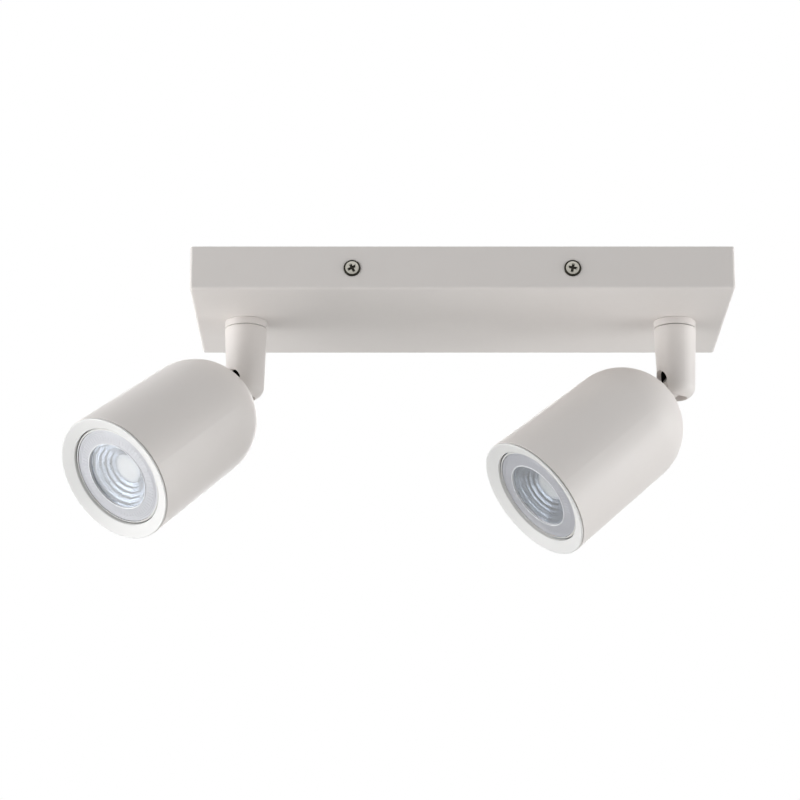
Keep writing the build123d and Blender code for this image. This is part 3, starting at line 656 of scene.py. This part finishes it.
def moved(tree, geometry, **change):
    """Turns, scales or shifts a geometry."""
    return add_node(tree, "GeometryNodeTransform", Geometry=geometry, **change).outputs[0]


def turned_by(tree, angles):
    """A rotation from a vector of three angles."""
    return add_node(tree, "FunctionNodeEulerToRotation", Euler=angles).outputs[0]


def rod(tree, sides, radius=1.0, length=1.0):
    """An upright rod about the origin."""
    made = add_node(tree, "GeometryNodeMeshCylinder", Vertices=sides, Radius=radius, Depth=length)
    return made.outputs["Mesh"]


def boolean(tree, operation, *meshes):
    """What closed meshes share, or the first one with the others cut out of it."""
    step = tree.nodes.new("GeometryNodeMeshBoolean")
    step.operation = operation
    step.solver = "MANIFOLD"
    for number, mesh in enumerate(meshes):
        is_base = operation == "DIFFERENCE" and number == 0
        feed(tree, mesh, step.inputs["Mesh 1" if is_base else "Mesh 2"])
    return step.outputs["Mesh"]


# %% Growing a piece
def grow(tree, points=((0, 0, 0),), turns=None, **sizes):
    """Runs a tree on points with the given sizes and returns the plain mesh."""
    seed = bpy.data.meshes.new("seed")
    seed.from_pydata(points, [], [])
    if turns:
        seed.attributes.new("turn", "FLOAT_VECTOR", "POINT").data.foreach_set("vector", np.ravel(turns))
    grower = put_in_scene(bpy.data.objects.new("grower", seed))
    modifier = grower.modifiers.new("grow", "NODES")
    modifier.node_group = tree
    for item in tree.interface.items_tree:
        if item.in_out == "INPUT" and item.name in sizes:
            modifier[item.identifier] = sizes[item.name]
    graph = bpy.context.evaluated_depsgraph_get()
    mesh = bpy.data.meshes.new_from_object(grower.evaluated_get(graph))
    grower.modifiers.remove(modifier)
    bpy.data.objects.remove(grower)
    return mesh


# %% [markdown]
# ## Threads
# A thread is a rule: at each height the groove has turned a little further. So a flat grid is rolled up
# into a tube, one way round and the other way along, and its radius follows a zigzag of height and turn.
# The first row and the last two rows make the ends and the bore, so the tube is closed.

# %% Rolling up a grid
SEAM_GAP = 0.003 * MM


def rolled_grid(tree, columns, rows):
    """A grid to roll up: its geometry, the turn of each point and its row as a number."""
    grid = add_node(
        tree, "GeometryNodeMeshGrid", Size_X=1.0, Size_Y=1.0, Vertices_X=columns, Vertices_Y=rows
    ).outputs["Mesh"]
    across, along, _ = split_xyz(tree, add_node(tree, "GeometryNodeInputPosition").outputs[0])
    turn = maths(tree, "ADD", across, 0.5)
    row = maths(tree, "ROUND", maths(tree, "MULTIPLY", maths(tree, "ADD", along, 0.5), rows - 1))
    return grid, turn, row


def roll_up(tree, grid, turn, radius, height):
    """Rolls a grid about Z to a radius and a height at each point, and joins its seam."""
    angle = maths(tree, "MULTIPLY", turn, 2 * math.pi)
    x = maths(tree, "MULTIPLY", radius, maths(tree, "COSINE", angle))
    y = maths(tree, "MULTIPLY", radius, maths(tree, "SINE", angle))
    place = join_xyz(tree, x, y, height)
    rolled = add_node(tree, "GeometryNodeSetPosition", Geometry=grid, Position=place).outputs[0]
    joined = add_node(tree, "GeometryNodeMergeByDistance", Geometry=rolled, Distance=SEAM_GAP).outputs[0]
    return add_node(tree, "GeometryNodeFlipFaces", Mesh=joined).outputs[0]


# %% Threaded tube
THREAD_ROWS = 240
THREAD_COLUMNS = 49
THREAD_DEPTH = 0.54


def threaded(tree, radius, bore, length, pitch):
    """A threaded tube, or a rod where the bore is nothing, from height 0 down to its length."""
    grid, turn, row = rolled_grid(tree, THREAD_COLUMNS, THREAD_ROWS)
    last = THREAD_ROWS - 1
    after_first = maths(tree, "GREATER_THAN", row, 0.5)
    before_ends = maths(tree, "LESS_THAN", row, last - 1.5)
    on_thread = maths(tree, "MULTIPLY", after_first, before_ends)
    share = maths(tree, "DIVIDE", maths(tree, "SUBTRACT", row, 1.0), last - 3)
    share = maths(tree, "MINIMUM", maths(tree, "MAXIMUM", share, 0.0), 1.0)
    share = maths(tree, "MULTIPLY", share, maths(tree, "LESS_THAN", row, last - 0.5))
    drop = maths(tree, "MULTIPLY", share, length)
    phase = maths(tree, "FRACT", maths(tree, "ADD", maths(tree, "DIVIDE", drop, pitch), turn))
    zigzag = maths(tree, "ABSOLUTE", maths(tree, "SUBTRACT", maths(tree, "MULTIPLY", phase, 2.0), 1.0))
    groove = maths(tree, "MULTIPLY", maths(tree, "MULTIPLY", pitch, THREAD_DEPTH), zigzag)
    outside = maths(tree, "SUBTRACT", radius, groove)
    wall = maths(tree, "MULTIPLY", on_thread, maths(tree, "SUBTRACT", outside, bore))
    return roll_up(tree, grid, turn, maths(tree, "ADD", bore, wall), maths(tree, "MULTIPLY", drop, -1.0))


# %% Two nipples
NIPPLE_PITCH = 1 * MM


def make_nipple_tree():
    """Tree of one threaded tube."""
    tree, sizes = new_tree(
        "threaded_nipple", Radius=5 * MM, Bore=3.8 * MM, Length=20 * MM, Pitch=NIPPLE_PITCH
    )
    tube = threaded(tree, sizes["Radius"], sizes["Bore"], sizes["Length"], sizes["Pitch"])
    end_tree(tree, coated(tree, realised(tree, tube), zinc))
    return tree


nipple_tree = make_nipple_tree()
print(f"{nipple_tree.name}: {len(nipple_tree.nodes)} nodes")
for side in SIDES:
    upright = post_place(side)
    radii, heights = radii_and_heights(upright, f"{side}_nipple")
    low, high = heights.min(), heights.max()
    mesh = grow(nipple_tree, Radius=float(radii.max()), Bore=float(radii.min()), Length=float(high - low))
    top = upright @ Matrix.Translation((0, 0, high))
    finished(f"{side}_threaded_nipple", mesh, top, f"{side}_post", "zinc_steel", f"{side}_nipple")

# %% [markdown]
# ## Nuts
# A pressed nut is a six-sided bar whose corners are turned down to a cone on both faces. The bar is cut by
# a flattened ball that just touches its flats, which leaves the curved lines that real nuts have, and a
# bore is taken out.

# %% Nut tree
NUT_SIDES = 6
ROUND_SIDES = 72
BALL_RINGS = 48
BALL_TO_CORNER = 1.02


def make_nut_tree():
    """Tree of one nut about the origin."""
    tree, sizes = new_tree("chamfered_nut", Corner=8 * MM, Height=3.5 * MM, Bore=5 * MM)
    corner, height = sizes["Corner"], sizes["Height"]
    bar = rod(tree, NUT_SIDES, corner, height)
    ball = add_node(tree, "GeometryNodeMeshUVSphere", Segments=ROUND_SIDES, Rings=BALL_RINGS, Radius=1.0)
    girth = maths(tree, "MULTIPLY", corner, BALL_TO_CORNER)
    flat = maths(tree, "MULTIPLY", corner, math.cos(math.pi / NUT_SIDES))
    flat_share = maths(tree, "DIVIDE", flat, girth)
    rest_share = maths(tree, "SUBTRACT", 1.0, maths(tree, "MULTIPLY", flat_share, flat_share))
    half = maths(tree, "DIVIDE", maths(tree, "MULTIPLY", height, 0.5), maths(tree, "SQRT", rest_share))
    flattened = moved(tree, ball.outputs["Mesh"], Scale=join_xyz(tree, girth, girth, half))
    turned = boolean(tree, "INTERSECT", bar, flattened)
    bored = boolean(tree, "DIFFERENCE", turned, rod(tree, ROUND_SIDES, sizes["Bore"]))
    end_tree(tree, coated(tree, realised(tree, bored), zinc))
    return tree


nut_tree = make_nut_tree()
print(f"{nut_tree.name}: {len(nut_tree.nodes)} nodes")

# %% Two nuts
for side in SIDES:
    upright = post_place(side)
    radii, heights = radii_and_heights(upright, f"{side}_nipple_nut")
    corner_point = seen_from(upright, f"{side}_nipple_nut")[radii.argmax()]
    corner_turn = Matrix.Rotation(math.atan2(corner_point[1], corner_point[0]), 4, "Z")
    low, high = heights.min(), heights.max()
    mesh = grow(nut_tree, Corner=float(radii.max()), Height=float(high - low), Bore=float(radii.min()))
    centre = upright @ Matrix.Translation((0, 0, (low + high) / 2)) @ corner_turn
    finished(f"{side}_chamfered_nut", mesh, centre, f"{side}_post", "zinc_steel", f"{side}_nipple_nut")

# %% [markdown]
# ## Canopy screws
# Four pan screws hold the canopy to its bracket, two in each long side. A pan head is a flattened ball, so
# its outline is a superellipse rolled up about Z. The cross recess is two tapered bars cut out of it. The
# turned edge and the recess are painted dark: a painted dark reflection on the edge and painted shade in
# the recess, so only the crown is bright.

# %% Head and cross
HEAD_ROWS = 61
HEAD_COLUMNS = 73
EDGE_ROUNDING = 0.55
CROWN_ROUNDING = 0.5
UNDERSIDE = 0.02
CROSS_TAPER = (0.85, 1.25)
CROSS_OVERSHOOT = 1.6


def pan_head(tree, sizes):
    """A pan head that stands on height 0."""
    grid, turn, row = rolled_grid(tree, HEAD_COLUMNS, HEAD_ROWS)
    sweep = maths(tree, "MULTIPLY", row, math.pi / (HEAD_ROWS - 1))
    out = maths(tree, "POWER", maths(tree, "ABSOLUTE", maths(tree, "SINE", sweep)), EDGE_ROUNDING)
    level = maths(tree, "COSINE", sweep)
    above = maths(tree, "POWER", maths(tree, "MAXIMUM", level, 0.0), CROWN_ROUNDING)
    under = maths(tree, "MULTIPLY", maths(tree, "MINIMUM", level, 0.0), UNDERSIDE)
    height = maths(tree, "MULTIPLY", sizes["Height"], maths(tree, "ADD", above, under))
    return roll_up(tree, grid, turn, maths(tree, "MULTIPLY", sizes["Radius"], out), height)


def cross_bar(tree, sizes, turn):
    """One bar of the cross, wider at the top, from the floor of the recess to above the crown."""
    low, high = (math.sqrt(2) / 2 * share for share in CROSS_TAPER)
    cone = add_node(tree, "GeometryNodeMeshCone", Vertices=4, Radius_Top=high, Radius_Bottom=low, Depth=1.0)
    square = moved(tree, cone.outputs["Mesh"], Rotation=(0, 0, math.pi / 4))
    reach = maths(tree, "MULTIPLY", sizes["Reach"], 2.0)
    tall = maths(tree, "MULTIPLY", sizes["Depth"], CROSS_OVERSHOOT)
    recess_floor = join_xyz(tree, z=maths(tree, "SUBTRACT", sizes["Height"], sizes["Depth"]))
    bar = moved(tree, square, Scale=join_xyz(tree, reach, sizes["Slot"], tall), Translation=recess_floor)
    return moved(tree, bar, Rotation=(0, 0, turn))


# %% Painted shade on a head
STEEP_BELOW = 0.6
SUNK_BELOW = 0.5
# Near-black plating, painted on the head as shade in its cross and as a dark reflection on its edge.
screw_painted_shade = plated("screw_painted_shade", (0.032, 0.030, 0.024), low=0.45, high=0.6)


def screw_shade_places(tree, sizes):
    """Where a screw head gets painted darkness: a painted dark reflection on its turned edge, and painted
    shade on the walls and the floor of its cross.
    """
    x, y, z = split_xyz(tree, add_node(tree, "GeometryNodeInputPosition").outputs[0])
    out = length_of(tree, x, y)
    on_edge = maths(tree, "GREATER_THAN", out, sizes["Crown"])
    on_crown = maths(tree, "LESS_THAN", out, sizes["Crown"])
    _, _, upward = split_xyz(tree, add_node(tree, "GeometryNodeInputNormal").outputs[0])
    steep = maths(tree, "LESS_THAN", upward, STEEP_BELOW)
    sunk = maths(tree, "LESS_THAN", z, maths(tree, "MULTIPLY", sizes["Height"], SUNK_BELOW))
    in_cross = maths(tree, "MULTIPLY", maths(tree, "MAXIMUM", steep, sunk), on_crown)
    return maths(tree, "MAXIMUM", on_edge, in_cross)


# %% Screw tree
def make_screw_tree():
    """Tree of screws on points, each turned by its point's own angles."""
    tree, sizes = new_tree(
        "cross_screws", Radius=4.1 * MM, Height=2 * MM, Crown=3.2 * MM, Reach=2.1 * MM, Slot=1.15 * MM,
        Depth=0.6 * MM, Shank=2 * MM, Length=6 * MM, Pitch=0.7 * MM,
    )
    bars = [cross_bar(tree, sizes, turn) for turn in (0.0, math.pi / 2)]
    head = coated(tree, boolean(tree, "DIFFERENCE", pan_head(tree, sizes), *bars), nickel)
    # The painted shade and dark reflection go on the edge and the cross.
    head = coated(tree, head, screw_painted_shade, Selection=screw_shade_places(tree, sizes))
    shank = coated(tree, threaded(tree, sizes["Shank"], 0.0, sizes["Length"], sizes["Pitch"]), zinc)
    screw = tree.nodes.new("GeometryNodeJoinGeometry")
    feed(tree, shank, screw.inputs[0])
    feed(tree, head, screw.inputs[0])
    turns = add_node(tree, "GeometryNodeInputNamedAttribute", Name="turn")
    turns.data_type = "FLOAT_VECTOR"
    screws = add_node(
        tree, "GeometryNodeInstanceOnPoints", Points=sizes["Points"], Instance=screw.outputs[0],
        Rotation=turned_by(tree, turns.outputs["Attribute"]),
    )
    end_tree(tree, realised(tree, screws.outputs[0]))
    return tree


screw_tree = make_screw_tree()
print(f"{screw_tree.name}: {len(screw_tree.nodes)} nodes")

# %% Four canopy screws
# Each cross stands as its screw was left: the front two, then the back two, in degrees.
CROSS_TURNS = ((28.0, -11.0), (40.0, 12.0))
screws_low, screws_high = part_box("canopy_screws")
canopy_low, canopy_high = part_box("canopy")
head_radius = (screws_high.z - screws_low.z) / 2
head_height = canopy_low.y - screws_low.y
screw_x = screws_high.x - head_radius
screw_z = (screws_low.z + screws_high.z) / 2
screw_points, screw_turns = [], []
for sign, wall_y, angles in zip((-1, 1), (canopy_low.y, canopy_high.y), CROSS_TURNS):
    for along, angle in zip((-1, 1), angles):
        screw_points.append((along * screw_x, wall_y, screw_z))
        outward = Matrix.Rotation(sign * -math.pi / 2, 4, "X")
        screw_turns.append(tuple((outward @ Matrix.Rotation(math.radians(angle), 4, "Z")).to_euler()))
mesh = grow(screw_tree, screw_points, screw_turns, Radius=head_radius, Height=head_height)
finished("cross_screws", mesh, Matrix(), "canopy_base", "screw_nickel", "canopy_screws")

# %% [markdown]
# ## Lamps
# The front of each lamp is one clear moulding: a frosted rim that falls a little to its outer edge, with
# two fine grooves and with ribs that run out from the middle, then a bright bead and a sunk window. Frosted
# and clear plastic bend light differently, so they are turned as pieces of their own. The ribs are many and
# alike, so they are grown on a circle.

# %% Frosted and clear plastic
FROST_TONES = (0.49, 0.50, 0.54), (0.52, 0.53, 0.57)
WINDOW_TONES = (0.95, 0.97, 1.0), (0.97, 0.985, 1.0)


def frosted_plastic(name):
    """Etched rim: light comes through scattered, so it looks pale and milky."""
    finish, tree, shader = new_finish(
        name, Roughness=0.28, IOR=1.6, Specular_IOR_Level=0.9, Transmission_Weight=0.15
    )
    feed(tree, tint(tree, grain(tree, size=4 * MM), *FROST_TONES), shader.inputs["Base Color"])
    roughen(tree, shader, grain(tree, size=0.3 * MM), height=0.02 * MM, strength=0.3)
    return finish


def clear_plastic(name):
    """Polished window with the faint blue of thick clear plastic."""
    finish, tree, shader = new_finish(name, Roughness=0.05, IOR=1.49, Transmission_Weight=0.88)
    feed(tree, tint(tree, grain(tree, size=9 * MM), *WINDOW_TONES), shader.inputs["Base Color"])
    return finish


lens_frost = frosted_plastic("lens_frost")
lens_clear = clear_plastic("lens_clear")
lens_bead = moulded("lens_bead", (0.90, 0.91, 0.94), roughness=0.25)
print(f"{len(bpy.data.materials)} materials in all")

# %% Rib tree
RIB_SIDES = 12


def make_rib_tree():
    """Tree of low ribs like spokes, which lean as the rim falls."""
    tree, sizes = new_tree(
        "lens_ribs", Inner=18 * MM, Outer=23 * MM, Width=0.5 * MM, Rise=0.12 * MM, Slope=0.1, Count=72.0
    )
    count = sizes["Count"]
    middle = maths(tree, "MULTIPLY", maths(tree, "ADD", sizes["Inner"], sizes["Outer"]), 0.5)
    length = maths(tree, "SUBTRACT", sizes["Outer"], sizes["Inner"])
    half_width = maths(tree, "MULTIPLY", sizes["Width"], 0.5)
    lying = moved(tree, rod(tree, RIB_SIDES), Rotation=(0, math.pi / 2, 0))
    rib = moved(tree, lying, Scale=join_xyz(tree, length, half_width, sizes["Rise"]))
    lean = join_xyz(tree, y=maths(tree, "MULTIPLY", sizes["Slope"], -1.0))
    rib = moved(tree, rib, Rotation=turned_by(tree, lean))
    circle = add_node(tree, "GeometryNodeMeshCircle", Vertices=count, Radius=middle).outputs["Mesh"]
    index = add_node(tree, "GeometryNodeInputIndex").outputs[0]
    angle = maths(tree, "DIVIDE", maths(tree, "MULTIPLY", index, 2 * math.pi), count)
    spoke = turned_by(tree, join_xyz(tree, z=angle))
    ribs = add_node(tree, "GeometryNodeInstanceOnPoints", Points=circle, Instance=rib, Rotation=spoke)
    end_tree(tree, coated(tree, realised(tree, ribs.outputs[0]), lens_frost))
    return tree


rib_tree = make_rib_tree()
print(f"{rib_tree.name}: {len(rib_tree.nodes)} nodes")

# %% Profiles of the lens
# These sizes are in millimetres. A depth is measured back from the lamp's front.
WINDOW_RADIUS = 16.7
WINDOW_SINK = 0.8
WINDOW_FIT = 0.03
BEAD_OVERLAP = 0.05
BEAD_WIDTH = 0.5
BEAD_RISE = 0.35
BEAD_STEPS = 10
LENS_THICKNESS = 2.0
RIM_EDGE = 0.12
RIM_FALL = 0.5
RIM_SHOULDER = WINDOW_RADIUS + BEAD_WIDTH - BEAD_OVERLAP
GROOVES = (1.1, 1.9)
GROOVE_WIDTH = 0.3
GROOVE_DEPTH = 0.1
RIB_MARGIN = 0.8


def rim_section(rim, slope):
    """Section of a rim of a given radius, from its outer edge over the grooves to the bead."""
    section = [(rim, LENS_THICKNESS), (rim, RIM_FALL + RIM_EDGE), (rim - RIM_EDGE, RIM_FALL)]
    for groove in GROOVES:
        for across, depth in ((0, 0), (GROOVE_WIDTH / 2, GROOVE_DEPTH), (GROOVE_WIDTH, 0)):
            radius = rim - groove - across
            section.append((radius, slope * (radius - RIM_SHOULDER) + depth))
    return [*section, (RIM_SHOULDER, 0), (RIM_SHOULDER, LENS_THICKNESS)]


def bead_section():
    """Section of a half-round bead that stands out from the front, with walls back to the lens's back."""
    section = [(WINDOW_RADIUS, LENS_THICKNESS)]
    for step in range(BEAD_STEPS + 1):
        turn = math.pi * step / BEAD_STEPS
        across = BEAD_WIDTH * (1 - math.cos(turn)) / 2
        section.append((WINDOW_RADIUS + across, -BEAD_RISE * math.sin(turn)))
    return [*section, (WINDOW_RADIUS + BEAD_WIDTH, LENS_THICKNESS)]


def window_section():
    """Section of the sunk window."""
    edge = WINDOW_RADIUS - WINDOW_FIT
    return [(0, WINDOW_SINK), (edge, WINDOW_SINK), (edge, LENS_THICKNESS), (0, LENS_THICKNESS)]


print(f"window {2 * WINDOW_RADIUS:.1f} mm across, sunk by {WINDOW_SINK} mm")

# %% Rims, beads, ribs and windows
def lens_part(section, finish):
    """Turns a section that is given in millimetres."""
    return lathe([(radius * MM, depth * MM) for radius, depth in section], finish)


def lamp_front(side):
    """Frame of a lamp's front: the light's axis is Z, and depth 0 is the front of the lamp's body."""
    _, heights = radii_and_heights(head_place(side), f"{side}_lamp_body")
    return head_place(side) @ Matrix.Translation((0, 0, heights.min()))


for side in SIDES:
    front, body, lens = lamp_front(side), f"{side}_head", f"{side}_lamp_lens"
    rim = radii_and_heights(head_place(side), lens)[0].max() / MM
    slope = RIM_FALL / (rim - RIM_EDGE - RIM_SHOULDER)
    frosted = lens_part(rim_section(rim, slope), lens_frost)
    finished(f"{side}_lens_rim", frosted, front, body, "lamp_lens", lens)
    finished(f"{side}_lens_bead", lens_part(bead_section(), lens_bead), front, body, "lamp_lens")
    inner, outer = WINDOW_RADIUS + BEAD_WIDTH + RIB_MARGIN, float(rim - GROOVES[-1] - RIB_MARGIN)
    ribs = grow(rib_tree, Inner=inner * MM, Outer=outer * MM, Slope=math.atan(slope))
    rib_depth = slope * ((inner + outer) / 2 - RIM_SHOULDER)
    on_rim = front @ Matrix.Translation((0, 0, rib_depth * MM))
    finished(f"{side}_lens_ribs", ribs, on_rim, body, "lamp_lens")
    finished(f"{side}_lens_window", lens_part(window_section(), lens_clear), front, body, "lamp_lens", lens)

# %% [markdown]
# ## Cups
# Behind each window a metallised cup steps down to the light source. The frame's cup is smooth and round,
# but the real one is made of flat facets, each of which mirrors its own piece of the surroundings. So the
# corners of the cup's section are read from the frame and turned again in a few steps, with flat faces.

# %% Faceted cups
CUP_FACETS = 14
CORNER_DIGITS = 5


def section_corners(place, node):
    """Corners of a turned node's half section, from front to back, as pairs of radius and height."""
    pairs = np.column_stack(radii_and_heights(place, node))
    corners = np.unique(np.round(pairs, CORNER_DIGITS), axis=0)
    return sorted((tuple(pair) for pair in corners), key=lambda pair: pair[1])


for side in SIDES:
    front, body, reflector = lamp_front(side), f"{side}_head", f"{side}_lamp_reflector"
    corners = section_corners(front, reflector)
    mouth, back = sorted(corners[:2]), sorted(corners[-2:])
    section = [mouth[0], *corners[2:-2], *back, mouth[1]]
    mesh = lathe(section, metallised, CUP_FACETS)
    cup = finished(f"{side}_faceted_cup", mesh, front, body, "lamp_reflector", reflector)
    cup.data.shade_flat()
    print(f"{side} cup: {len(section)} corners")

# %% [markdown]
# ## Sizes
# The frame has the real sizes, so nothing that was added may stand out of its box. The frame's box is
# printed.

# %% Size of the frame
print("box of the frame:", ", ".join(f"{length / MM:.1f} mm" for length in cad_box[1] - cad_box[0]))
